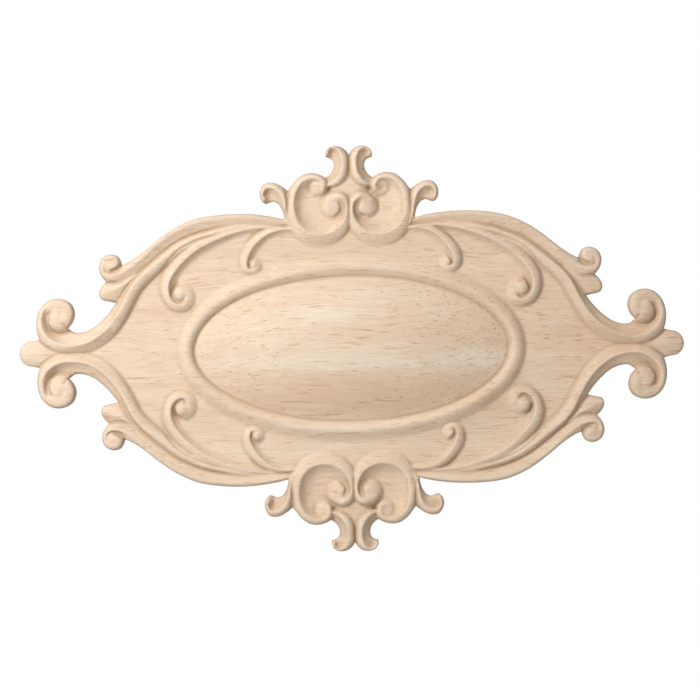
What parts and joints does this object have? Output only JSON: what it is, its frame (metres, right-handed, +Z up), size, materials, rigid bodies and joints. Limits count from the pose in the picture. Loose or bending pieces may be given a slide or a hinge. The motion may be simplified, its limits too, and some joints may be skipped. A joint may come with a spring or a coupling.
{
  "type": "carved wooden oval centre applique",
  "caption": "Flat-backed carved wooden applique: a domed oval field in a raised rim, scroll crests above and below, leaf bands running to curled ends.",
  "frame": {"origin": "centre of the flat back, where the applique meets the surface it is fixed to", "axes": "+X along the length, +Z up, +Y out of the flat back into the surface it is fixed to, so the carved front faces -Y"},
  "size_m": [0.3, 0.015, 0.1832],
  "materials": {
    "bare_wood": "bare, sanded, no stain or varnish"
  },
  "bodies": {
    "root": {"carved_applique": "bare_wood"}
  },
  "joints": []
}
